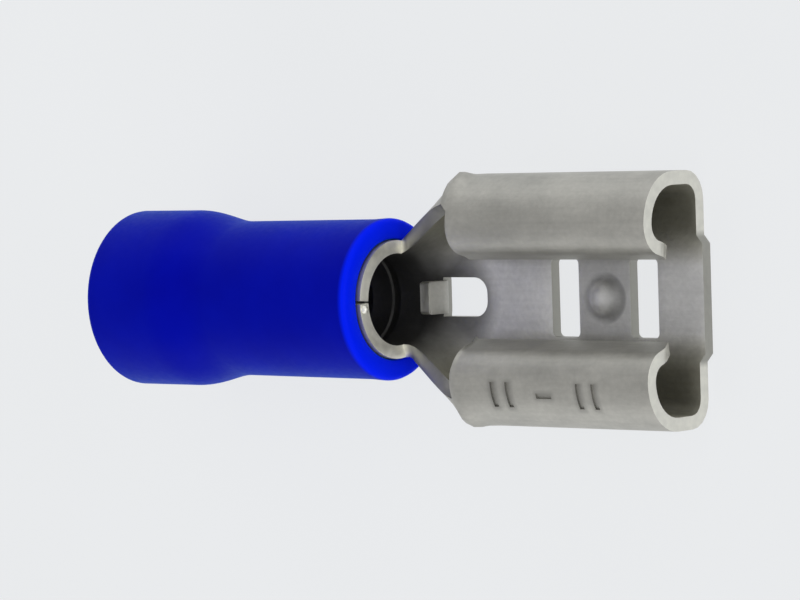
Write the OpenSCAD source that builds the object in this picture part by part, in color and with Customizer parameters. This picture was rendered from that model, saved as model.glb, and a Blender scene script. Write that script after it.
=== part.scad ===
// Insulated female spade terminal for a 6.3 x 0.8 mm tab and a 1.5 to 2.5 mm2 wire.
// +X points out of the tab's mouth and +Z out of the open side of the receptacle.
// The origin is on the wire barrel's axis, half-way along the barrel.

/* [Strip] */
// Thickness of the strip that the terminal is pressed from
strip_t = 0.4; // [0.3:0.05:0.5]

/* [Wire barrel] */
// Inside diameter of the wire barrel
barrel_id = 2.8; // [2.3:0.1:3.2]
// Length of the wire barrel
barrel_l = 5.6; // [4.5:0.1:7]
// Gap between the strip's two edges along the top of the barrel
seam_w = 0.08; // [0.04:0.02:0.16]
// Number of gripping grooves inside the barrel
groove_count = 4; // [2:2:6]
// Distance between two grooves
groove_pitch = 1.1; // [0.6:0.1:1.1]
// Width of a groove
groove_w = 0.3; // [0.2:0.05:0.4]
// Depth of a groove
groove_depth = 0.08; // [0.04:0.01:0.12]
// Diameter of the burr left where the seam meets the front cut edge
burr_d = 0.26; // [0.16:0.02:0.34]

/* [Neck] */
// Length of the neck, from the barrel to the crest of the wings
neck_l = 2.88; // [2.8:0.02:3.6]
// Length over which the neck's walls flare to full width
flare_l = 2.75; // [2.4:0.05:2.8]
// How far below the barrel's axis the neck's walls start
wall_start_drop = 0.3; // [0.1:0.05:0.6]
// How far the walls' rear corners stand out past the wings
corner_bulge = 0.14; // [0:0.02:0.2]

/* [Receptacle] */
// Outside width across the wings
receptacle_w = 7.5; // [7.1:0.1:8.2]
// Length of the wings along their crest
wing_l = 7.16; // [6.4:0.02:9]
// Height of the wings' crest over the underside of the base
wing_h = 3.05; // [2.8:0.05:3.3]
// Gap between the base and a wing's free edge, where the tab goes
tab_gap = 0.9; // [0.6:0.05:1.1]
// Outside radius of the bend from the base into a wing
base_bend_r = 0.85; // [0.6:0.05:1.1]
// Outside radius of a wing's roll, from its side to its crest
outer_roll_r = 1.5; // [1.2:0.05:1.6]
// Outside radius of a wing's roll, from its crest inwards
inner_roll_r = 0.9; // [0.8:0.05:1]
// Angle that the inner roll turns through before the wing runs straight to its free edge
inner_roll_turn = 80; // [65:1:85]
// How far the ends of a wing lean back between its crest and its free edge
end_rake = 0.45; // [0:0.05:0.6]
// How far the base reaches out past the wings at the mouth
lip_l = 0.2; // [0.1:0.05:0.4]
// Width of that lip
lip_w = 3.7; // [3:0.1:4]
// Chamfer on the lip's corners
lip_chamfer = 0.25; // [0.1:0.05:0.4]

/* [Base] */
// Distance from the mouth's edge to the middle of the locking dimple
dimple_from_mouth = 3.52; // [3.3:0.02:4.2]
// Diameter of the locking dimple
dimple_d = 1.25; // [0.9:0.05:1.4]
// Height of the locking dimple
dimple_h = 0.25; // [0.15:0.05:0.3]
// Distance between the middles of the two slots beside the dimple
slot_pitch = 2.85; // [2.6:0.05:3.2]
// Width of a slot, along the tab
slot_w = 1; // [0.8:0.02:1.2]
// Length of a slot, across the tab
slot_l = 2.35; // [1.8:0.05:2.8]
// Corner radius of a slot
slot_corner_r = 0.16; // [0.08:0.02:0.3]

/* [Tab stop] */
// Distance from the barrel to the bend of the tab stop
stop_from_barrel = 0.85; // [0.8:0.05:1.1]
// Length of the window that the tab stop is lanced from
window_l = 1.52; // [1.1:0.02:1.6]
// Width of that window
window_w = 1.2; // [1.1:0.02:1.4]
// Corner radius at the window's front end
window_corner_r = 0.48; // [0.3:0.02:0.54]
// Clearance between the window and each side of the tab stop
stop_clearance = 0.1; // [0.06:0.02:0.16]
// Height of the tab stop over the base
stop_h = 0.75; // [0.6:0.05:1]
// Angle that the tab stop leans back from upright
stop_lean = 10; // [0:1:20]

/* [Size marks] */
// Number of pressed bars in each of the two groups on a wing
bar_count = 2; // [1:1:3]
// Length of a bar round the wing
bar_l = 0.8; // [0.5:0.05:1]
// Width of a bar
bar_w = 0.16; // [0.1:0.02:0.24]
// Distance between two bars of a group
bar_pitch = 0.55; // [0.4:0.05:0.7]
// Depth of the bars
bar_depth = 0.06; // [0.03:0.01:0.1]
// Distance between the two groups
group_pitch = 3.1; // [2.6:0.1:3.6]
// How far the dash between the groups lies behind the dome
marks_back = 0.45; // [0:0.05:0.8]

/* [Sleeve] */
// Radial clearance between the sleeve and the wire barrel
sleeve_clearance = 0.03; // [0.02:0.01:0.06]
// Length of the sleeve
sleeve_l = 10.3; // [9.5:0.1:11.5]
// How far the barrel stands out of the sleeve's front end
barrel_proud = 0.1; // [0.05:0.05:0.4]
// Outside diameter of the sleeve at its front rim
rim_d = 4.94; // [4.9:0.02:5.4]
// Length of the slightly swollen front rim
rim_l = 0.7; // [0.4:0.1:1]
// Outside diameter of the sleeve behind the rim
sleeve_front_d = 4.88; // [4.8:0.02:5.3]
// Outside diameter of the sleeve at its waist, before it widens
waist_d = 4.82; // [4.7:0.02:5.2]
// Distance from the front rim to the waist
waist_from_front = 5.7; // [5.3:0.1:6.1]
// Length over which the sleeve widens
widening_l = 2.2; // [1.2:0.1:2.6]
// Outside diameter of the wire end
wire_end_d = 5.55; // [5.4:0.05:6]
// Inside diameter of the wire end
wire_entry_d = 4.3; // [4.1:0.05:4.5]
// Length of the funnel between the two inside diameters
funnel_l = 1.2; // [0.8:0.1:1.6]
// Radius of the rounded rims
rim_round_r = 0.2; // [0.1:0.02:0.24]

/* [Hidden] */

STRIP_COLOR = [0.60, 0.60, 0.57];
SLEEVE_COLOR = [0.02, 0.08, 0.72];

cut = 0.01;        // how far a cutting shape reaches past the face that it cuts
inset = 0.02;      // how far the neck's faces lie inside those of the strip that it runs into
arc_step = 6;      // degrees between two points of an arc
neck_overlap = 0.1;    // how far the neck runs into the barrel's wall
bulge_l = 0.5;         // how far the bulge at the neck's corners reaches to each side
neck_steps = 10;       // steps along the flare of the neck
bulge_steps = 3;       // steps from the top of the bulge to its front end
neck_points = 22;      // points along each face of half its section
least_floor = 0.02;    // half width of the flat of the base where the neck leaves the barrel
flare_power = 1.3;     // how late the neck gains its width: 1 is a straight flare
wall_slant = 0.35;     // how much thicker than the strip a slanting wall measures across the neck
crest_drop = 0.06;     // how far below the wings' crest the neck's walls end
stop_bend_r = 0.15;    // inside radius of the tab stop's bend
mark_angle = 72;       // where the size marks sit round a wing's roll, up from level
widening_steps = 16;   // points along the sleeve's widening
barrel_r = barrel_id / 2 + strip_t;
base_z = -barrel_r;             // underside of the base, level with the barrel's underside
floor_z = base_z + strip_t;     // top of the base
crest_y = receptacle_w / 2 - outer_roll_r;
barrel_front_x = barrel_l / 2;
wing_rear_x = barrel_front_x + neck_l;
wing_front_x = wing_rear_x + wing_l;
mouth_x = wing_front_x + lip_l;
stop_x = barrel_front_x + stop_from_barrel;
stop_outer_r = stop_bend_r + strip_t;
dimple_x = mouth_x - dimple_from_mouth;
sleeve_front_x = barrel_front_x - barrel_proud;
dome_r = (dimple_d * dimple_d / 4 + dimple_h * dimple_h) / (2 * dimple_h);
dome_z = floor_z + dimple_h - dome_r;

// Points of an arc round centre c, from angle a0 to angle a1.
function arc(c, r, a0, a1) =
    let (n = max(1, ceil(abs(a1 - a0) / arc_step)))
    [for (i = [0:n]) c + r * [cos(a0 + (a1 - a0) * i / n), sin(a0 + (a1 - a0) * i / n)]];

function mirrored(points) = [for (p = points) [-p[0], p[1]]];
function reversed(points) = [for (i = [len(points) - 1:-1:0]) points[i]];

// One face of the strip in the receptacle's section, from the middle of the base round to the
// wing's free edge. d is how far the face lies inside the outer one: 0, or the strip's thickness.
function wing_face(d) =
    let (
        side_y = receptacle_w / 2,
        turn = 90 + inner_roll_turn,
        inner_c = [crest_y, wing_h - inner_roll_r],
        edge_z = strip_t + tab_gap,
        bend_end = inner_c + inner_roll_r * [cos(turn), sin(turn)],
        straight = (bend_end[1] - edge_z) / sin(inner_roll_turn),
        run = [-cos(inner_roll_turn), -sin(inner_roll_turn)],
        last = inner_c + (inner_roll_r - d) * [cos(turn), sin(turn)] + straight * run
    )
    concat(
        arc([side_y - base_bend_r, base_bend_r], base_bend_r - d, -90, 0),
        arc([crest_y, wing_h - outer_roll_r], outer_roll_r - d, 0, 90),
        arc(inner_c, inner_roll_r - d, 90, turn),
        [last]
    );

// The receptacle's section: base and both wings, with the underside at height 0.
module receptacle_section() {
    outer = wing_face(0);
    inner = wing_face(strip_t);
    polygon(concat(
        outer,
        reversed(inner),
        mirrored(inner),
        reversed(mirrored(outer))
    ));
}

// A shape drawn in the X-Z plane, drawn out sideways to the given width about y = 0.
module side_profile(width, points) {
    translate([0, width / 2, 0])
        rotate([90, 0, 0])
            linear_extrude(width)
                polygon(points);
}

module rolled_wings() {
    knee_z = base_z + wing_h - inner_roll_r;
    edge_z = floor_z + tab_gap;
    low_z = floor_z + tab_gap / 2;
    slope = end_rake / (knee_z - edge_z);
    low_rake = slope * (knee_z - low_z);
    far_z = base_z + wing_h + 1;
    tail_x = wing_rear_x - low_rake - 1;
    difference() {
        translate([wing_rear_x - low_rake, 0, base_z])
            rotate([90, 0, 90])
                linear_extrude(wing_l + low_rake)
                    receptacle_section();
        // Leans the front end of each wing back towards its free edge
        side_profile(2 * crest_y, [
            [wing_front_x, knee_z],
            [wing_front_x + 1, knee_z],
            [wing_front_x + 1, low_z],
            [wing_front_x - low_rake, low_z]
        ]);
        // Behind the crest, keeps only the leaning tail of each wing
        side_profile(2 * crest_y, [
            [tail_x, far_z],
            [wing_rear_x, far_z],
            [wing_rear_x, knee_z],
            [wing_rear_x - low_rake, low_z],
            [wing_rear_x, low_z],
            [wing_rear_x, base_z - 1],
            [tail_x, base_z - 1]
        ]);
        for (side = [-1, 1])
            translate([
                (tail_x + wing_rear_x) / 2,
                side * (crest_y + receptacle_w / 2),
                base_z + wing_h / 2
            ])
                cube([wing_rear_x - tail_x, receptacle_w, 2 * wing_h], center = true);
    }
}

// The edge of the base that stands out past the wings, with its corners taken off.
module lip() {
    half_w = lip_w / 2;
    back_x = wing_front_x - lip_l;
    translate([0, 0, base_z])
        linear_extrude(strip_t)
            polygon([
                [back_x, -half_w],
                [mouth_x - lip_chamfer, -half_w],
                [mouth_x, -half_w + lip_chamfer],
                [mouth_x, half_w - lip_chamfer],
                [mouth_x - lip_chamfer, half_w],
                [back_x, half_w]
            ]);
}

// A sheet lofted through sections. Each ring holds one face of the sheet from edge to edge, and
// then the other face back again, so point k lies across the sheet from point size - 1 - k.
module loft(rings) {
    size = len(rings[0]);
    last = (len(rings) - 1) * size;
    across = [for (k = [0:size / 2 - 2]) [k, k + 1, size - 2 - k, size - 1 - k]];
    polyhedron(
        points = [for (ring = rings) each ring],
        faces = concat(
            [for (q = across) each [[q[0], q[1], q[2]], [q[0], q[2], q[3]]]],
            [for (q = across) each [
                [last + q[2], last + q[1], last + q[0]],
                [last + q[3], last + q[2], last + q[0]]
            ]],
            [for (j = [0:size:last - size], k = [0:size - 1])
                let (next = (k + 1) % size)
                each [[j + size + k, j + next, j + k], [j + size + k, j + size + next, j + next]]]
        ),
        convexity = 8
    );
}

// How much of its full width the neck has gained at u, which runs from 0 to 1 along the flare.
function flare(u) = pow(u, flare_power);

// Sizes of the neck's section at a distance x in front of the barrel.
function neck_u(x) = min(1, max(0, x / flare_l));
function neck_bulge(x) =
    corner_bulge * (1 + cos(180 * min(1, abs(x - flare_l) / bulge_l))) / 2;
function neck_half_w(x) =
    barrel_r + (receptacle_w / 2 - barrel_r) * flare(neck_u(x)) + neck_bulge(x);
function neck_bend_r(x) =
    min(
        barrel_r + (base_bend_r - barrel_r) * flare(neck_u(x)),
        neck_half_w(x) - least_floor
    );
function neck_top(x) =
    let (start = barrel_r - wall_start_drop, end = wing_h - crest_drop)
    start + (end - start) * min(1, max(0, x / neck_l));

// A slanting wall is thicker across the neck than the strip is.
function neck_wall_t(x) = strip_t * (1 + wall_slant * sin(180 * neck_u(x)));

// A point of one face of the strip in the neck's section, at a fraction t of the way from the
// flat of the base to the top edge of the wall. It passes the base bend, the straight of the
// wall and the roll above it, and the points come out evenly spaced along the face.
function neck_point(t, half_w, bend_r, top, depth, wall_depth) =
    let (
        roll_z = wing_h - outer_roll_r,
        bend_turn = top < bend_r ? acos(1 - top / bend_r) : 90,
        roll_turn = top > roll_z ? asin((top - roll_z) / outer_roll_r) : 0,
        inner_r = bend_r - depth,
        roll_r = outer_roll_r - wall_depth,
        bend_l = inner_r * bend_turn * PI / 180,
        wall_l = max(0, min(top, roll_z) - bend_r),
        roll_l = roll_r * roll_turn * PI / 180,
        s = t * (bend_l + wall_l + roll_l),
        side_y = half_w - wall_depth
    )
    s < bend_l
        ? let (turn = s / inner_r * 180 / PI)
            [side_y - inner_r * (1 - sin(turn)), bend_r - inner_r * cos(turn)]
        : s < bend_l + wall_l
            ? [side_y, bend_r + s - bend_l]
            : let (turn = (s - bend_l - wall_l) / roll_r * 180 / PI)
                [side_y - roll_r * (1 - cos(turn)), max(bend_r, roll_z) + roll_r * sin(turn)];

// One face of the strip in the neck's section at x. depth and wall_depth are how far it lies
// inside the outer face, in the base and in the wall.
function neck_face(x, depth, wall_depth) =
    [for (i = [0:neck_points - 1])
        neck_point(
            i / (neck_points - 1),
            neck_half_w(x),
            neck_bend_r(x),
            neck_top(x),
            depth,
            wall_depth
        )];

function neck_ring(x) =
    let (
        outer = neck_face(x, inset, inset),
        inner = neck_face(x, strip_t - inset, neck_wall_t(x) - inset),
        section = concat(
            reversed(mirrored(outer)),
            outer,
            reversed(inner),
            mirrored(inner)
        )
    )
    [for (p = section) [barrel_front_x + x, p[0], base_z + p[1]]];

module neck() {
    places = concat(
        [-neck_overlap],
        [for (i = [0:neck_steps]) inset + (flare_l - inset) * i / neck_steps],
        [for (i = [1:bulge_steps]) flare_l + bulge_l * i / bulge_steps]
    );
    loft([for (x = places) neck_ring(x)]);
}

// The barrel, with its seam along the top and the gripping grooves inside.
module barrel() {
    difference() {
        rotate([0, 90, 0])
            cylinder(h = barrel_l, r = barrel_r, center = true, $fn = 96);
        rotate([0, 90, 0])
            cylinder(h = barrel_l + 2 * cut, d = barrel_id, center = true, $fn = 96);
        for (i = [0:groove_count - 1])
            translate([(i - (groove_count - 1) / 2) * groove_pitch, 0, 0])
                rotate([0, 90, 0])
                    cylinder(h = groove_w, d = barrel_id + 2 * groove_depth, center = true, $fn = 96);
        translate([0, 0, barrel_r - strip_t / 2])
            cube([barrel_l + 2 * cut, seam_w, 2 * strip_t], center = true);
    }
}

// A small bead of metal beside the seam, on the barrel's front cut edge.
module burr() {
    translate([barrel_front_x, -seam_w - burr_d / 2, barrel_r - strip_t / 2])
        sphere(d = burr_d, $fn = 32);
}

// A rectangle from the origin along x, with both corners of its far end rounded.
module tongue_outline(length, width, corner_r) {
    translate([0, -width / 2])
        square([length - corner_r, width]);
    translate([0, corner_r - width / 2])
        square([length, width - 2 * corner_r]);
    for (side = [-1, 1])
        translate([length - corner_r, side * (width / 2 - corner_r)])
            circle(corner_r, $fn = 48);
}

// The window starts where the tab stop's bend does, so the bend has no base under it.
module window() {
    translate([stop_x - stop_outer_r, 0, base_z - cut])
        linear_extrude(strip_t + 2 * cut)
            tongue_outline(stop_outer_r + window_l, window_w, window_corner_r);
}

// The tongue lanced from the window and bent up, which a tab runs against when it is home.
module tab_stop() {
    bend_c = [stop_x - stop_outer_r, strip_t + stop_bend_r];
    up = [-sin(stop_lean), cos(stop_lean)];
    across = [cos(stop_lean), sin(stop_lean)];
    top = strip_t + stop_h;
    straight = (top - bend_c[1] - stop_outer_r * sin(stop_lean)) / cos(stop_lean);
    width = window_w - 2 * stop_clearance;
    intersection() {
        translate([0, 0, base_z])
            side_profile(width, concat(
                [[bend_c[0] - cut, 0]],
                arc(bend_c, stop_outer_r, -90, stop_lean),
                [bend_c + stop_outer_r * across + straight * up],
                [bend_c + stop_bend_r * across + straight * up],
                reversed(arc(bend_c, stop_bend_r, -90, stop_lean)),
                [[bend_c[0] - cut, strip_t]]
            ));
        translate([0, 0, base_z])
            rotate([0, -90, 0])
                linear_extrude(4 * stop_x, center = true)
                    tongue_outline(top, width, window_corner_r - stop_clearance);
    }
}

module slot(x) {
    translate([x, 0, base_z - cut])
        linear_extrude(strip_t + 2 * cut) {
            square([slot_w - 2 * slot_corner_r, slot_l], center = true);
            square([slot_w, slot_l - 2 * slot_corner_r], center = true);
            for (i = [-1, 1], j = [-1, 1])
                translate([
                    i * (slot_w / 2 - slot_corner_r),
                    j * (slot_l / 2 - slot_corner_r)
                ])
                    circle(slot_corner_r, $fn = 32);
        }
}

// The dimple's dome stands up from the base, and its back is hollow by as much.
module dimple_dome() {
    intersection() {
        translate([dimple_x, 0, dome_z])
            sphere(dome_r, $fn = 64);
        translate([dimple_x, 0, floor_z - strip_t / 2])
            cylinder(h = dimple_h + strip_t, d = 2 * dimple_d, $fn = 64);
    }
}

module dimple_hollow() {
    translate([dimple_x, 0, dome_z])
        sphere(dome_r - strip_t, $fn = 64);
}

// A shallow mark pressed into the roll of the right-hand wing, centred at x.
module mark(x, size_x, size_round) {
    turn = size_round / outer_roll_r * 180 / PI;
    roll_c = [-crest_y, base_z + wing_h - outer_roll_r];
    translate([x - size_x / 2, 0, 0])
        rotate([90, 0, 90])
            linear_extrude(size_x)
                polygon(concat(
                    arc(roll_c, outer_roll_r - bar_depth, mark_angle - turn / 2, mark_angle + turn / 2),
                    arc(roll_c, outer_roll_r + bar_depth, mark_angle + turn / 2, mark_angle - turn / 2)
                ));
}

module size_marks() {
    marks_x = dimple_x - marks_back;
    for (side = [-1, 1], i = [0:bar_count - 1])
        mark(
            marks_x + side * group_pitch / 2 + (i - (bar_count - 1) / 2) * bar_pitch,
            bar_w,
            bar_l
        );
    mark(marks_x, bar_pitch, bar_w);
}

module terminal() {
    color(STRIP_COLOR) {
        difference() {
            union() {
                rolled_wings();
                lip();
                neck();
                dimple_dome();
            }
            window();
            for (side = [-1, 1])
                slot(dimple_x + side * slot_pitch / 2);
            dimple_hollow();
            size_marks();
        }
        tab_stop();
        barrel();
        burr();
    }
}

// The sleeve's wall as [radius, place along x], round the outside from the front and back inside.
function sleeve_wall() =
    let (
        front = sleeve_front_x,
        rear = sleeve_front_x - sleeve_l,
        r = rim_round_r,
        bore_r = barrel_r + sleeve_clearance,
        entry_r = wire_entry_d / 2,
        widening_x = front - waist_from_front,
        growth = (wire_end_d - waist_d) / 2
    )
    concat(
        arc([rim_d / 2 - r, front - r], r, 90, 0),
        [[sleeve_front_d / 2, front - rim_l]],
        [for (i = [0:widening_steps])
            [
                waist_d / 2 + growth * (1 - cos(180 * i / widening_steps)) / 2,
                widening_x - widening_l * i / widening_steps
            ]],
        arc([wire_end_d / 2 - r, rear + r], r, 0, -90),
        arc([entry_r + r / 2, rear + r / 2], r / 2, -90, -180),
        [
            [entry_r, -barrel_l / 2 - funnel_l],
            [bore_r, -barrel_l / 2],
            [bore_r, front]
        ]
    );

module insulating_sleeve() {
    color(SLEEVE_COLOR)
        rotate([0, 90, 0])
            rotate_extrude($fn = 96)
                polygon(sleeve_wall());
}

terminal();
insulating_sleeve();
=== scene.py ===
import math

import bmesh
import bpy
from mathutils import Matrix, Vector


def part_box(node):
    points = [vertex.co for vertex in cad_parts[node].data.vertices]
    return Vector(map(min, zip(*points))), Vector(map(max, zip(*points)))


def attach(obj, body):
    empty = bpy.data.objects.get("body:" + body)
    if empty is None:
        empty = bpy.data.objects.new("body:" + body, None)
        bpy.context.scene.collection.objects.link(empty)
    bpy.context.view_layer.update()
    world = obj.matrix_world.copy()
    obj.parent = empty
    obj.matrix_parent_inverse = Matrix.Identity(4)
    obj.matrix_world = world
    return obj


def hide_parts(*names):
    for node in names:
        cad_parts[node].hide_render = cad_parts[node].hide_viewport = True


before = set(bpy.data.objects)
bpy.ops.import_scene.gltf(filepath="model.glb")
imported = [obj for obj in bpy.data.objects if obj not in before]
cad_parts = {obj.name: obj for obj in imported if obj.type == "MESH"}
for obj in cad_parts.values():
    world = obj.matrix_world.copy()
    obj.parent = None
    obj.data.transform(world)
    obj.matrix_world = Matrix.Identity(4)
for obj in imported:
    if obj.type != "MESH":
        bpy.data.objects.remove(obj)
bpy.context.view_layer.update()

# ---------------------------------------------------------------- the terminal
# One piece of 0.4 mm brass strip, tin plated, then stamped and folded: a barrel rolled shut at the
# wire's end, a neck that opens out, and a flat base whose two wings are rolled over towards it. The
# plate is a soft satin grey, and the sheared edges are brighter.
MM = 0.001
low, high = (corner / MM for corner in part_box("terminal"))
strip_t = 0.4
half_t = strip_t / 2
edge_round = 0.00143

barrel_r = high.z
barrel_front = -low.x
ring_r = barrel_r - half_t
seam_half_w = 0.04
groove_places = (-1.65, -0.55, 0.55, 1.65)
groove_half_w = 0.14
groove_slope = 0.03
groove_depth = 0.08
bead_r = 0.13
bead_y = -0.21

neck_l = 2.88
neck_lag = 0.25
flare_l = 2.75
flare_power = 1.3
wall_start_h = 1.5
wall_end_h = 2.99
ear_out = 0.12
ear_half_l = 0.42
ear_rise = 1.45
ear_share = 0.7

mouth_x = high.x
lip_l = 0.2
lip_half_w = 1.85
lip_end_half_w = 1.6
wing_rear = barrel_front + neck_l
wing_front = mouth_x - lip_l
wing_h = 3.05
receptacle_half_w = 3.75
base_bend_r = 0.85
outer_roll_r = 1.5
inner_roll_r = 0.9
inner_roll_turn = 80
edge_run = 1.02
end_rake = 0.53
roll_z = low.z + wing_h - outer_roll_r
inner_roll_z = low.z + wing_h - inner_roll_r
crest_y = receptacle_half_w - outer_roll_r

dome_x = mouth_x - 3.52
dome_r = 0.66
dome_h = 0.25
slot_size = (1, 2.35)
slot_pitch = 2.85
slot_corner_r = 0.16
window_rear = 3.5
window_front = 5.17
window_w = 1.2
window_corner_r = 0.48

stop_bend_x = 3.1
stop_bend_r = 0.35
stop_lean = 10
stop_run = 0.28
stop_half_w = 0.5
stop_corner = 0.1

# Each mark is the place of its middle, its width along the wing, and its length round the roll.
mark_turn = math.radians(72)
mark_depth = 0.06
mark_y = -crest_y - outer_roll_r * math.cos(mark_turn)
marks_x = dome_x - 0.45
bar_w = 0.16
bar_l = 0.8
bar_pitch = 0.55
group_pitch = 3.1
MARKS = []
for group in (-group_pitch / 2, group_pitch / 2):
    for bar in (-bar_pitch / 2, bar_pitch / 2):
        MARKS.append((marks_x + group + bar, bar_w, bar_l))
MARKS.append((marks_x, bar_pitch, bar_w))


class Socket:
    """A shader socket that adds Math nodes when it is used in a sum."""

    def __init__(self, tree, socket):
        self.tree = tree
        self.socket = socket

    def beside(self, output):
        """Another output of the same node."""
        return Socket(self.tree, self.socket.node.outputs[output])

    def math(self, operation, other=None, swap=False):
        given = (other, self) if swap else (self, other)
        inputs = {i: value for i, value in enumerate(given) if value is not None}
        return self.tree.node("ShaderNodeMath", {"operation": operation}, inputs)

    def __add__(self, other):
        return self.math("ADD", other)

    def __radd__(self, other):
        return self.math("ADD", other, swap=True)

    def __sub__(self, other):
        return self.math("SUBTRACT", other)

    def __rsub__(self, other):
        return self.math("SUBTRACT", other, swap=True)

    def __mul__(self, other):
        return self.math("MULTIPLY", other)

    def __rmul__(self, other):
        return self.math("MULTIPLY", other, swap=True)

    def __abs__(self):
        return self.math("ABSOLUTE")


class Tree:
    """The nodes of a material or a world."""

    def __init__(self, owner):
        self.owner = owner
        owner.use_nodes = True
        self.nodes = owner.node_tree.nodes
        self.links = owner.node_tree.links
        self.nodes.clear()

    def node(self, kind, settings=None, inputs=None, output=0):
        """Any node: its type, its settings, and the values or links of its sockets."""
        made = self.nodes.new(kind)
        for name, value in (settings or {}).items():
            if name == "stops":
                ramp = made.color_ramp
                while len(ramp.elements) < len(value):
                    ramp.elements.new(0.5)
                for element, (place, colour) in zip(ramp.elements, value):
                    element.position = place
                    element.color = (*colour, 1)
            else:
                setattr(made, name, value)
        for name, value in (inputs or {}).items():
            if isinstance(value, Socket):
                self.links.new(value.socket, made.inputs[name])
            else:
                made.inputs[name].default_value = value
        return Socket(self, made.outputs[output]) if len(made.outputs) else None

    def place(self):
        """Object coordinates in millimetres, so that every scale is in waves per millimetre."""
        here = self.node("ShaderNodeTexCoord", output="Object")
        return self.node("ShaderNodeVectorMath", {"operation": "SCALE"}, {0: here, "Scale": 1 / MM})

    def parts(self, place):
        """The coordinates of a place, one by one."""
        split = self.node("ShaderNodeSeparateXYZ", {}, {0: place})
        return [split.beside(axis) for axis in "XYZ"]

    def distance(self, x, y, to_x, to_y):
        return ((x - to_x) * (x - to_x) + (y - to_y) * (y - to_y)).math("SQRT")

    def spread(self, value, low, high, to_low, to_high):
        """A value between two limits, spread over two others and held at them outside."""
        inputs = {
            "Value": value,
            "From Min": low,
            "From Max": high,
            "To Min": to_low,
            "To Max": to_high,
        }
        return self.node("ShaderNodeMapRange", {"clamp": True}, inputs)

    def stretched(self, place, scale):
        return self.node("ShaderNodeMapping", {}, {"Vector": place, "Scale": scale})

    def noise(self, place, scale, detail=3.0, roughness=0.55):
        inputs = {"Vector": place, "Scale": scale, "Detail": detail, "Roughness": roughness}
        return self.node("ShaderNodeTexNoise", {}, inputs, output="Fac")

    def ramp(self, value, stops):
        return self.node("ShaderNodeValToRGB", {"stops": stops}, {"Fac": value}, output="Color")

    def blend(self, factor, one, other, mode="MIX"):
        settings = {"data_type": "RGBA", "blend_type": mode}
        return self.node("ShaderNodeMix", settings, {0: factor, 6: one, 7: other}, output=2)

    def toned(self, tone, colour):
        """A colour multiplied by a tone."""
        grey = self.node("ShaderNodeCombineColor", {}, {"Red": tone, "Green": tone, "Blue": tone})
        return self.blend(1.0, grey, (*colour, 1), "MULTIPLY")

    def bump(self, height, strength, distance):
        inputs = {"Height": height, "Strength": strength, "Distance": distance}
        return self.node("ShaderNodeBump", {}, inputs, output="Normal")

    def finished(self, shader, kind="Material"):
        self.node("ShaderNodeOutput" + kind, {}, {"Surface": shader})
        return self.owner

    def surface(self, inputs):
        return self.finished(self.node("ShaderNodeBsdfPrincipled", {}, inputs, output="BSDF"))


def rolled_plate(tree, place):
    """The plate's clouds, rolling lines and grain, as a tone and the rest of its finish."""
    clouds = tree.noise(place, 0.6, 5.0, 0.62)
    lines = tree.noise(tree.stretched(place, (0.5, 7.0, 7.0)), 1.0, 2.0)
    grain = tree.noise(place, 7.0, 3.0)
    tone = tree.spread(clouds, 0.32, 0.68, 0.86, 1.1)
    tone = tone * tree.spread(lines, 0.3, 0.7, 0.965, 1.03)
    tone = tone * tree.spread(grain, 0.3, 0.7, 0.95, 1.05)
    return tone, {
        "Metallic": 1.0,
        "Roughness": tree.spread(clouds + 0.3 * grain, 0.4, 0.9, 0.52, 0.64),
        "Normal": tree.bump(grain + 0.4 * lines, 0.25, 0.00003),
    }


def near_marks(tree, x, y, z):
    """1 on the pressed marks, fading out in the plate close round them."""
    found = 0.0
    for at, wide, long in MARKS:
        along = tree.spread(abs(x - at), wide / 2 + 0.02, wide / 2 + 0.14, 1.0, 0.0)
        around = tree.spread(abs(y - mark_y), long / 2, long / 2 + 0.12, 1.0, 0.0)
        found = along * around + found
    upper_side = tree.spread(z, 0.6, 0.7, 0.0, 1.0)
    return found * upper_side


def tin_outside():
    """The side of the strip that is rolled outwards, a little darker round the marks."""
    tree = Tree(bpy.data.materials.new("tin_plate"))
    place = tree.place()
    tone, finish = rolled_plate(tree, place)
    tone = tone * (1.0 - 0.22 * near_marks(tree, *tree.parts(place)))
    return tree.surface({"Base Color": tree.toned(tone, (0.48, 0.472, 0.436)), **finish})


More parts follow.
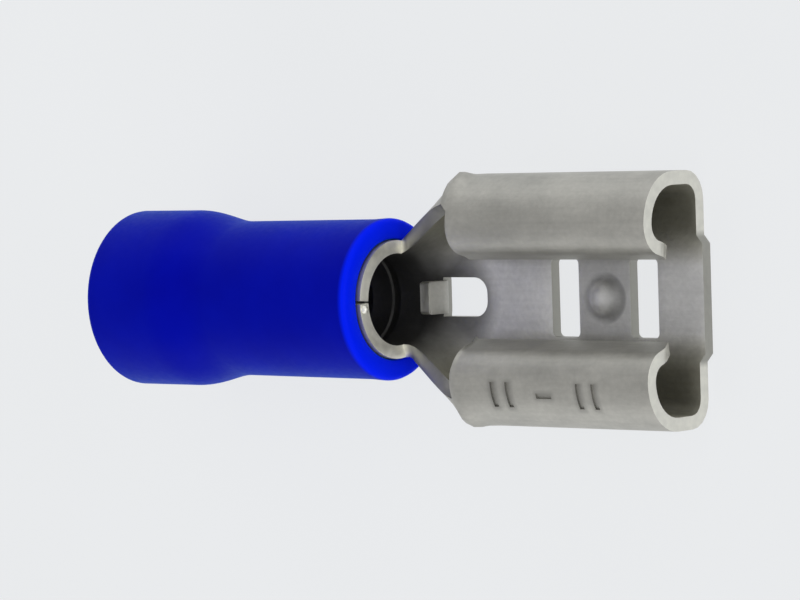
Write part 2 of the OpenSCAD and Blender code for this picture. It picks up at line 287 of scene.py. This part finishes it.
def tin_inside():
    """The side that is rolled inwards, with painted shade deep in the throat, round the window and
    under the rolls.
    """
    tree = Tree(bpy.data.materials.new("tin_inside"))
    place = tree.place()
    tone, finish = rolled_plate(tree, place)
    x, y, z = tree.parts(place)

    # Painted shade: darker deep in the throat and round the window. The base is also darker from
    # the rear slot forwards, most between the slots.
    throat = tree.spread(x, barrel_front + 0.1, barrel_front + 2.6, 0.16, 1.0)
    window = tree.spread(tree.distance(x, y, 4.1, -0.15), 0.9, 1.6, 0.5, 1.0)
    slots = tree.spread(x, 8.3, 8.8, 1.02, 0.72) + tree.spread(x, 10.5, 11.0, 0.0, 0.16)
    # Painted shade under the wings' rolls, less of it higher up the walls.
    under_wing_shade = tree.spread(abs(y), 0.95, 2.1, 0.0, 1.0)
    raised = tree.spread(z, low.z + 0.45, low.z + 1.1, 0.0, 1.0)
    tone = tone * throat * window * slots * (1.0 - under_wing_shade * (0.5 - 0.42 * raised))

    # Painted light on the dome: a painted highlight on its top, a little to the rear, and painted
    # shade in the crease round its foot and on its front side.
    away = tree.distance(x, y, dome_x, 0.0)
    crease_shade = tree.spread(away, 0.45, 0.6, 0.0, 1.0) * tree.spread(away, 0.66, 0.8, 1.0, 0.0)
    far_side_shade = tree.spread(x, dome_x + 0.02, dome_x + 0.3, 0.0, 1.0)
    far_side_shade = far_side_shade * tree.spread(away, 0.72, 0.8, 1.0, 0.0)
    dome_highlight = tree.spread(tree.distance(x, y, dome_x - 0.12, 0.0), 0.4, 0.56, 1.38, 1.0)
    tone = tone * (1.0 - 0.2 * crease_shade) * (1.0 - 0.3 * far_side_shade) * dome_highlight

    # The shaded colour is an olive copy of the plate, painted shade under the wings.
    plain = tree.toned(tone, (0.76, 0.755, 0.745))
    shaded = tree.toned(tone, (0.78, 0.76, 0.64))
    return tree.surface({"Base Color": tree.blend(under_wing_shade, plain, shaded), **finish})


def cut_edge():
    """The sheared edges: bright at the ends, with a painted highlight at the barrel's front end, as
    dark as the plate along the neck, and darker round the punched holes.
    """
    tree = Tree(bpy.data.materials.new("cut_edge"))
    place = tree.place()
    x, y, z = tree.parts(place)
    across = abs(y)
    streaks = tree.noise(place, 4.0, 3.0)
    along_neck = tree.spread(x, barrel_front + 0.05, barrel_front + 0.3, 0.0, 1.0)
    along_neck = along_neck * tree.spread(x, wing_rear + 0.32, wing_rear + 0.52, 1.0, 0.0)
    along_neck = along_neck * tree.spread(across, 0.8, 1.1, 0.0, 1.0)
    punched = tree.spread(z, low.z + 0.45, low.z + 0.6, 1.0, 0.0)
    punched = punched * tree.spread(across, 1.8, 2.0, 1.0, 0.0)
    # A painted highlight brightens the edge at the barrel's front end.
    barrel_end_highlight = tree.spread(x, barrel_front + 0.1, barrel_front + 0.2, 1.0, 0.0)
    tone = tree.spread(streaks, 0.3, 0.7, 0.92, 1.06) * (1.0 - 0.5 * along_neck)
    tone = tone * (1.0 - 0.5 * punched) * (1.0 + 0.28 * barrel_end_highlight)
    return tree.surface({
        "Base Color": tree.toned(tone, (0.72, 0.71, 0.645)),
        "Metallic": 1.0,
        "Roughness": tree.spread(streaks, 0.3, 0.7, 0.42, 0.55),
        "Normal": tree.bump(streaks, 0.1, 0.00002),
    })


TIN = tin_outside()
CUT = cut_edge()
INSIDE = tin_inside()


def spaced(start, end, count):
    """The ends of even steps from start to end, without start itself."""
    return [start + (end - start) * i / count for i in range(1, count + 1)]


def side_of(place):
    """How far a side's neck lags and its share of the ear: the -Y side is a bit uneven."""
    return (neck_lag, ear_share) if place < 0 else (0, 1)


def ear(x, z):
    """How far the wall stands out where the neck's free edge meets the wing's rear corner."""
    near = min(1, abs(x - wing_rear) / ear_half_l)
    rise = min(1, max(0, (z - roll_z) / ear_rise))
    return ear_out * (1 + math.cos(math.pi * near)) * math.sin(math.pi * rise) ** 2


def half_width(x):
    """How far the strip has opened at x, from 0 to 1, and its half width there."""
    opened = min(1, max(0, x - barrel_front) / flare_l) ** flare_power
    return opened, barrel_r + (receptacle_half_w - barrel_r) * opened


def half_section(x):
    """The strip's middle from the base's centre line to the wall's top: its length, and a point."""
    opened, half_w = half_width(x)
    bend_r = barrel_r + (base_bend_r - barrel_r) * opened
    bend_mid = bend_r - half_t
    roll_mid = outer_roll_r - half_t
    raised = min(1, max(0, x - barrel_front) / neck_l)
    top = wall_start_h + (wall_end_h - wall_start_h) * raised
    roll_start = roll_z - low.z
    bend_turn = math.acos(1 - top / bend_r) if top < bend_r else math.pi / 2
    roll_turn = math.asin((top - roll_start) / outer_roll_r) if top > roll_start else 0
    flat = max(0, half_w - bend_r)
    bend = bend_mid * bend_turn
    wall = max(0, min(top, roll_start) - bend_r)

    def point(s):
        if s < flat:
            return s, low.z + half_t
        s -= flat
        if s < bend:
            turn = s / bend_mid
            return flat + bend_mid * math.sin(turn), low.z + bend_r - bend_mid * math.cos(turn)
        s -= bend
        if s < wall:
            return half_w - half_t, low.z + bend_r + s
        turn = (s - wall) / roll_mid
        return half_w - half_t - roll_mid * (1 - math.cos(turn)), roll_z + roll_mid * math.sin(turn)

    return flat + bend + wall + roll_mid * roll_turn, point


# The strip's columns are shares of a half section. They run closer in its bends than on its flats.
bend_from, wall_from, roll_from = 2.9, 3.921, 4.621
whole, _ = half_section(wing_front)
columns = [s / whole for s in (
    *spaced(0, 0.7, 7), 0.95, 1.25, 1.55, 1.85, 2.2, 2.55, bend_from,
    *spaced(bend_from, wall_from, 5),
    *spaced(wall_from, roll_from, 2),
    *spaced(roll_from, whole, 8))]
shares = [-t for t in reversed(columns)] + [0] + columns
nearly_all = 0.999999


def section_row(x):
    """A row across the base and up both walls."""
    row = []
    for share in shares:
        lag, ear_part = side_of(share)
        length, point = half_section(x - lag)
        y, z = point(min(abs(share), nearly_all) * length)
        row.append(Vector((x, math.copysign(y + ear_part * ear(x - lag, z), share), z)))
    return row


def rolled_in(x, side):
    """The rest of a wing, from the top of the neck's wall over the crest to its free edge."""
    lag, ear_part = side_of(side)
    length, point = half_section(x - lag)
    crest = half_width(x - lag)[1] - outer_roll_r
    radius = outer_roll_r - half_t
    start = math.asin(min(1, (point(nearly_all * length)[1] - roll_z) / radius))
    points = []
    for turn in spaced(start, math.pi / 2, 2):
        z = roll_z + radius * math.sin(turn)
        points.append((crest + ear_part * ear(x - lag, z) + radius * math.cos(turn), z))
    radius = inner_roll_r - half_t
    for turn in spaced(90, 90 + inner_roll_turn, 7):
        turn = math.radians(turn)
        points.append((crest + radius * math.cos(turn), inner_roll_z + radius * math.sin(turn)))
    y, z = points[-1]
    slant = math.radians(inner_roll_turn)
    for run in spaced(0, edge_run, 3):
        points.append((y - run * math.cos(slant), z - run * math.sin(slant)))
    return [Vector((x - end_rake * max(0, inner_roll_z - z), side * y, z)) for y, z in points]


def wing_row(x):
    """A whole row of the receptacle, from one wing's free edge to the other's."""
    return rolled_in(x, -1)[::-1] + section_row(x) + rolled_in(x, 1)


def ring_point(x, turn):
    return Vector((x, ring_r * math.cos(turn), ring_r * math.sin(turn)))


def joined(bm, row):
    """The row, with an edge added wherever two neighbours have none."""
    for pair in zip(row, row[1:]):
        if bm.edges.get(pair) is None:
            bm.edges.new(pair)
    return row


def chain(bm, points):
    return joined(bm, [bm.verts.new(p) for p in points])


def next_row(bm, row, points):
    """Extrudes a row of vertices once, to the given places, and returns the new row."""
    edges = [bm.edges.get(pair) for pair in zip(row, row[1:])]
    made = bmesh.ops.extrude_edge_only(bm, edges=edges)["geom"]
    fresh = {v for v in made if isinstance(v, bmesh.types.BMVert)}
    new = []
    for vert, place in zip(row, points):
        other = next(e.other_vert(vert) for e in vert.link_edges if e.other_vert(vert) in fresh)
        other.co = place
        new.append(other)
    return new


def grow(bm, row, points_at, places):
    for x in places:
        row = next_row(bm, row, points_at(x))
    return row


def linked(name, data):
    made = bpy.data.objects.new(name, data)
    bpy.context.scene.collection.objects.link(made)
    return made


def as_object(name, bm, *materials):
    """A new object from a bmesh, which is freed."""
    mesh = bpy.data.meshes.new(name)
    for material in materials:
        mesh.materials.append(material)
    bm.to_mesh(mesh)
    bm.free()
    return linked(name, mesh)


def thicken(piece, inner_slot=0):
    """Gives a sheet the strip's thickness. The rim takes the second material slot."""
    thick = piece.modifiers.new("thickness", "SOLIDIFY")
    thick.thickness = strip_t
    thick.offset = 0
    thick.use_even_offset = True
    thick.material_offset = inner_slot
    thick.material_offset_rim = 1


def applied(name, source):
    """A new object with the source's modifiers applied; the source goes."""
    bpy.context.view_layer.update()
    ready = source.evaluated_get(bpy.context.evaluated_depsgraph_get())
    mesh = bpy.data.meshes.new_from_object(ready)
    bpy.data.objects.remove(source)
    mesh.name = name
    return linked(name, mesh)


def cut_by(name, piece, tools):
    """The piece under a new name, with the tools' shapes taken out of it; the tools go."""
    for tool in tools:
        cut = piece.modifiers.new(tool.name, "BOOLEAN")
        cut.object = tool
        cut.operation = "DIFFERENCE"
        cut.solver = "EXACT"
    piece = applied(name, piece)
    for tool in tools:
        bpy.data.objects.remove(tool)
    return piece


def eased(piece, bm):
    """Writes a bmesh back to its piece, with its sheared edges only just eased."""
    bmesh.ops.remove_doubles(bm, verts=bm.verts, dist=0.0005)
    sharp = [e for e in bm.edges
             if len(e.link_faces) == 2 and e.calc_face_angle() > math.radians(55)]
    bmesh.ops.bevel(bm, geom=sharp, offset=edge_round, segments=3, profile=0.5, affect="EDGES",
                    material=-1, clamp_overlap=True)
    bm.to_mesh(piece.data)
    bm.free()


def punch(name, centre_x, size, corner_r, front_only=False):
    """A block with rounded upright corners, which punches a hole in the base."""
    bm = bmesh.new()
    bmesh.ops.create_cube(bm, size=1)
    bmesh.ops.scale(bm, vec=size, verts=bm.verts)
    upright = [e for e in bm.edges if abs(e.verts[0].co.z - e.verts[1].co.z) > size[2] / 2
               and (not front_only or e.verts[0].co.x > 0)]
    bmesh.ops.bevel(bm, geom=upright, offset=corner_r, segments=8, profile=0.5,
                    affect="EDGES", material=-1)
    bmesh.ops.translate(bm, vec=(centre_x, 0, low.z), verts=bm.verts)
    for face in bm.faces:
        face.material_index = 1
    return as_object(name, bm, TIN, CUT)


def die(at, wide, long):
    """A curved bar that sinks a mark into the roll of the -Y wing."""
    bm = bmesh.new()
    turn = long / outer_roll_r
    start = mark_turn - turn / 2
    profile = []
    for x, side in ((-0.5, -1), (0.5, -1), (0.5, 1), (-0.5, 1)):
        r = side * mark_depth + outer_roll_r
        place = (at + x * wide, -crest_y - r * math.cos(start), roll_z + r * math.sin(start))
        profile.append(bm.verts.new(place))
    bm.faces.new(profile)
    bmesh.ops.spin(bm, geom=bm.faces[:], cent=(0, -crest_y, roll_z), axis=(-1, 0, 0),
                   angle=turn, steps=6)
    bmesh.ops.recalc_face_normals(bm, faces=bm.faces)
    return as_object("die", bm, TIN)


bm = bmesh.new()
neck_row = chain(bm, section_row(barrel_front))

# The barrel takes in the neck's first row and goes on round it to the seam at the top. It has a row
# at the top and the foot of each groove's slopes.
end = neck_row[-1].co
first_turn = math.atan2(end.z, end.y)
seam_turn = math.pi / 2 - seam_half_w / ring_r
over = [ring_point(barrel_front, turn) for turn in spaced(first_turn, seam_turn, 14)]
left = [bm.verts.new((p.x, -p.y, p.z)) for p in reversed(over)]
right = [bm.verts.new(p) for p in over]
ring = joined(bm, left + neck_row + right)
turns = [math.atan2(v.co.z, v.co.y) for v in ring]
slopes = []
for place in reversed(groove_places):
    for edge in (groove_half_w, -groove_half_w - groove_slope):
        slopes += [place + edge + groove_slope, place + edge]
grow(bm, ring, lambda x: [ring_point(x, turn) for turn in turns], [2.6, *slopes, low.x])

# The neck grows to the wings, which carry its walls on over the crest. Rows run closer at the
# wings' rear corners and round the dome.
rear_row = grow(bm, neck_row, section_row, spaced(barrel_front, wing_rear, 16))
left = [bm.verts.new(p) for p in reversed(rolled_in(wing_rear, -1))]
right = [bm.verts.new(p) for p in rolled_in(wing_rear, 1)]
row = joined(bm, left + rear_row + right)
row = grow(bm, row, wing_row, [
    *spaced(wing_rear, wing_rear + 0.45, 4), 6.6, 7.2, 7.8, 8.4,
    *spaced(dome_x - 0.8, dome_x + 0.8, 16), 10.7, 11.2, 11.8, 12.4, wing_front])

# The base stands out a little past the wings, with its corners taken off.
edge = [v for v in row
        if abs(v.co.z - low.z - half_t) < 1e-4 and abs(v.co.y) < lip_half_w + 0.01]
next_row(bm, edge, [Vector((mouth_x, v.co.y * lip_end_half_w / lip_half_w, v.co.z)) for v in edge])

# A dome is pressed up in the base between the slots.
for vert in bm.verts:
    away = math.hypot(vert.co.x - dome_x, vert.co.y)
    if away < dome_r and vert.co.z < low.z + strip_t:
        vert.co.z += dome_h * (1 + math.cos(math.pi * away / dome_r)) / 2

# The faces look outwards, which is down in the base, so that the thickness adds the inner side.
bmesh.ops.recalc_face_normals(bm, faces=bm.faces)
middle = Vector((7.5, 0, low.z))
base_face = min(bm.faces, key=lambda f: (f.calc_center_median() - middle).length)
if base_face.normal.z > 0:
    bmesh.ops.reverse_faces(bm, faces=bm.faces)
strip = as_object("strip", bm, TIN, CUT, INSIDE)
thicken(strip, inner_slot=2)
window_l = window_front - window_rear
strip = cut_by("punched_strip", strip, [
    punch("punch_rear", dome_x - slot_pitch / 2, (*slot_size, 2), slot_corner_r),
    punch("punch_front", dome_x + slot_pitch / 2, (*slot_size, 2), slot_corner_r),
    punch("punch_window", window_rear + window_l / 2, (window_l, window_w, 1.6), window_corner_r,
          front_only=True),
])

# The barrel's inner face gets its gripping grooves, and then the marks are pressed.
bm = bmesh.new()
bm.from_mesh(strip.data)
for vert in bm.verts:
    out = Vector((0, vert.co.y, vert.co.z))
    grooved = any(abs(vert.co.x - place) < groove_half_w + 0.005 for place in groove_places)
    if grooved and out.length < ring_r:
        vert.co += groove_depth * out.normalized()
eased(strip, bm)
strip = cut_by("terminal_strip", strip, [die(*mark) for mark in MARKS])

# The tab stop is the tongue from the window, bent up square to the base and leaning back.
path = [Vector((stop_bend_x - 0.12, 0, low.z + half_t))]
bend_z = low.z + half_t + stop_bend_r
for turn in spaced(-90, stop_lean, 10):
    turn = math.radians(turn)
    x = stop_bend_x + stop_bend_r * math.cos(turn)
    path.append(Vector((x, 0, bend_z + stop_bend_r * math.sin(turn))))
lean = math.radians(stop_lean)
for _ in range(2):
    path.append(path[-1] + stop_run * Vector((-math.sin(lean), 0, math.cos(lean))))
bm = bmesh.new()
tongue = chain(bm, [p + Vector((0, -stop_half_w, 0)) for p in path])
for y in spaced(-stop_half_w, stop_half_w, 8):
    tongue = next_row(bm, tongue, [p + Vector((0, y, 0)) for p in path])
corners = [v for v in bm.verts if len(v.link_edges) == 2 and v.co.z > low.z + 2 * strip_t]
bmesh.ops.bevel(bm, geom=corners, offset=stop_corner, segments=4, profile=0.5,
                affect="VERTICES", material=-1)
bmesh.ops.recalc_face_normals(bm, faces=bm.faces)
stop = as_object("tongue", bm, TIN, CUT)
thicken(stop)
stop = applied("tab_stop", stop)
bm = bmesh.new()
bm.from_mesh(stop.data)
eased(stop, bm)

# The tab stop joins the strip only now, because a boolean on overlapping shells can lose one. A
# small bead is left where the seam meets the barrel's front edge.
bm = bmesh.new()
bm.from_mesh(strip.data)
bm.from_mesh(stop.data)
bpy.data.objects.remove(stop)
bead = bmesh.ops.create_icosphere(bm, subdivisions=3, radius=bead_r)["verts"]
for vert in bead:
    for face in vert.link_faces:
        face.material_index = 1
bmesh.ops.translate(bm, vec=(barrel_front, bead_y, ring_r), verts=bead)
bmesh.ops.scale(bm, vec=(MM, MM, MM), verts=bm.verts)
bm.to_mesh(strip.data)
bm.free()
strip.data.shade_smooth()
strip.data.set_sharp_from_angle(angle=math.radians(50))
even = strip.modifiers.new("even_shading", "WEIGHTED_NORMAL")
even.keep_sharp = True
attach(strip, "root")
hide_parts("terminal")

# ---------------------------------------------------------------- the insulating sleeve
# A tube of soft blue vinyl, moulded in one piece and pushed over the barrel. It grips the barrel
# at its front and widens at the rear, where the wire goes in.
sleeve_low, sleeve_high = (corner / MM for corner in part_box("insulating_sleeve"))
front = sleeve_high.x
rear = sleeve_low.x
wide_r = sleeve_high.z
rim_r = 2.47
rim_l = 0.7
rim_round = 0.2
behind_rim_r = 2.44
waist_r = 2.41
waist_from_front = 5.7
widening_l = 2.2
widening_steps = 16
entry_r = 2.15
entry_round = 0.1
funnel_l = 1.2
bore_r = barrel_r + 0.03
bore_chamfer = 0.06


def blue_vinyl():
    """Deep blue with a fine grain, and a painted brighter blue on the front face, which stands in
    for the light that falls on it.
    """
    tree = Tree(bpy.data.materials.new("blue_vinyl"))
    place = tree.place()
    clouds = tree.noise(place, 0.4, 3.0)
    grain = tree.noise(place, 6.0, 2.0)
    colour = tree.ramp(clouds, [(0.3, (0.0, 0.0015, 0.36)), (0.7, (0.0, 0.003, 0.43))])
    # Painted light: the front face takes a much brighter blue.
    front_face_light = tree.spread(tree.parts(place)[0], front - 0.25, front - 0.1, 0.0, 1.0)
    return tree.surface({
        "Base Color": tree.blend(front_face_light, colour, (0.0, 0.014, 0.98, 1)),
        "Roughness": tree.spread(grain, 0.3, 0.7, 0.42, 0.52),
        "Specular IOR Level": 0.03,
        "Sheen Weight": 0.3,
        "Sheen Roughness": 0.35,
        "Sheen Tint": (0.02, 0.3, 1.0, 1),
        "IOR": 1.5,
        "Normal": tree.bump(grain, 0.05, 0.00002),
    })


def arc(x, r, size, start, end, count=6):
    """Points of an arc in the wall's profile, as places along x and radii."""
    turns = [math.radians(a) for a in (start, *spaced(start, end, count))]
    return [(x + size * math.cos(turn), r + size * math.sin(turn)) for turn in turns]


wall = arc(front - rim_round, rim_r - rim_round, rim_round, 0, 90)
wall.append((front - rim_l, behind_rim_r))
for i in range(widening_steps + 1):
    widened = (1 - math.cos(math.pi * i / widening_steps)) / 2
    x = front - waist_from_front - widening_l * i / widening_steps
    wall.append((x, waist_r + (wide_r - waist_r) * widened))
wall += arc(rear + rim_round, wide_r - rim_round, rim_round, 90, 180)
wall += arc(rear + entry_round, entry_r + entry_round, entry_round, 180, 270)
wall += [
    (-barrel_front - funnel_l, entry_r),
    (-barrel_front, bore_r),
    (front - bore_chamfer, bore_r),
    (front, bore_r + bore_chamfer),
]
bm = bmesh.new()
loop = chain(bm, [Vector((x, 0, r)) for x, r in wall])
bm.edges.new((loop[-1], loop[0]))
bmesh.ops.spin(bm, geom=list(bm.verts) + list(bm.edges), cent=(0, 0, 0), axis=(1, 0, 0),
               angle=2 * math.pi, steps=96, use_merge=True)
bmesh.ops.remove_doubles(bm, verts=bm.verts, dist=0.0005)
bmesh.ops.recalc_face_normals(bm, faces=bm.faces)
bmesh.ops.scale(bm, vec=(MM, MM, MM), verts=bm.verts)
sleeve = as_object("sleeve", bm, blue_vinyl())
sleeve.data.shade_smooth()
sleeve.modifiers.new("even_shading", "WEIGHTED_NORMAL")
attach(sleeve, "root")
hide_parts("insulating_sleeve")

# ---------------------------------------------------------------- floor, light and camera
# The part lies on a pale board, on its sleeve's front rim and the front edge of its base. The wide
# end stands a little clear, because the terminal is the heavier piece.
rim_x = front - rim_round
rim_z = rim_round - rim_r
to_rim = math.hypot(mouth_x - rim_x, barrel_r + rim_z)
lean = math.atan2(-barrel_r - rim_z, mouth_x - rim_x) + math.asin(rim_round / to_rim)


def pale_board():
    """Nearly even, and seen at its own colour, while it still takes the part's shadow."""
    tree = Tree(bpy.data.materials.new("pale_board"))
    tone = tree.spread(tree.noise(tree.place(), 0.05, 2.0), 0.3, 0.7, 0.985, 1.0)
    colour = tree.node("ShaderNodeCombineColor", {}, {
        "Red": 0.85 * tone, "Green": 0.865 * tone, "Blue": 0.88 * tone})
    diffuse = tree.node("ShaderNodeBsdfDiffuse", {}, {"Color": colour})
    glow = tree.node("ShaderNodeEmission", {}, {"Color": colour, "Strength": 1.0})
    seen = tree.node("ShaderNodeLightPath", output="Is Camera Ray")
    seen = seen + seen.beside("Is Glossy Ray") + seen.beside("Is Transmission Ray")
    mix = tree.node("ShaderNodeMixShader", {}, {0: 0.88 * seen, 1: diffuse, 2: glow})
    return tree.finished(mix)


bm = bmesh.new()
bmesh.ops.create_grid(bm, x_segments=2, y_segments=2, size=0.6)
bmesh.ops.rotate(bm, cent=(0, 0, 0), matrix=Matrix.Rotation(-lean, 3, "Y"), verts=bm.verts)
bmesh.ops.translate(bm, vec=(mouth_x * MM, 0, -barrel_r * MM), verts=bm.verts)
board = as_object("board", bm, pale_board())

# The room's walls are as pale as the board, and its ceiling is dimmer.
room = Tree(bpy.data.worlds.new("studio"))
height = room.parts(room.node("ShaderNodeTexCoord", output="Generated"))[2]
walls = room.ramp(height, [(0.14, (0.83, 0.845, 0.865)), (0.6, (0.46, 0.46, 0.465))])
daylight = room.node("ShaderNodeBackground", {}, {"Color": walls, "Strength": 1.0})
bpy.context.scene.world = room.finished(daylight, "World")


def soft_box(name, place, size, power):
    """A soft lamp that faces the part."""
    light = bpy.data.lights.new(name, "AREA")
    light.shape = "RECTANGLE"
    light.size, light.size_y = size
    light.energy = power
    lamp = linked(name, light)
    lamp.location = place
    aim = Vector((2 * MM, 0, 0)) - Vector(place)
    lamp.rotation_euler = aim.to_track_quat("-Z", "Y").to_euler()


soft_box("top_lamp", (0.03, 0, 0.40), (0.5, 0.5), 0.2)
soft_box("front_lamp", (0.36, 0, 0.12), (0.3, 0.16), 0.35)
soft_box("left_lamp", (0.0, 0.34, 0.10), (0.5, 0.2), 0.25)
soft_box("right_lamp", (0.0, -0.34, 0.10), (0.5, 0.2), 0.25)

# The camera looks down into the receptacle from in front of its mouth, through a long lens.
camera_place = Vector((73.60, 5.70, 87.93)) * MM
back = Vector((0.6258, 0.0506, 0.7783)).normalized()
roughly_up = Vector((-0.0072, 0.9982, -0.0591))
right = roughly_up.cross(back).normalized()
up = back.cross(right).normalized()
turn = Matrix((right, up, back)).transposed().to_4x4()
lens = bpy.data.cameras.new("camera")
lens.sensor_width = 36
lens.lens = 167.7
lens.clip_start = 0.005
lens.clip_end = 5
camera = linked("camera", lens)
camera.matrix_world = Matrix.Translation(camera_place) @ turn
bpy.context.scene.camera = camera
bpy.context.scene.view_settings.view_transform = "Standard"
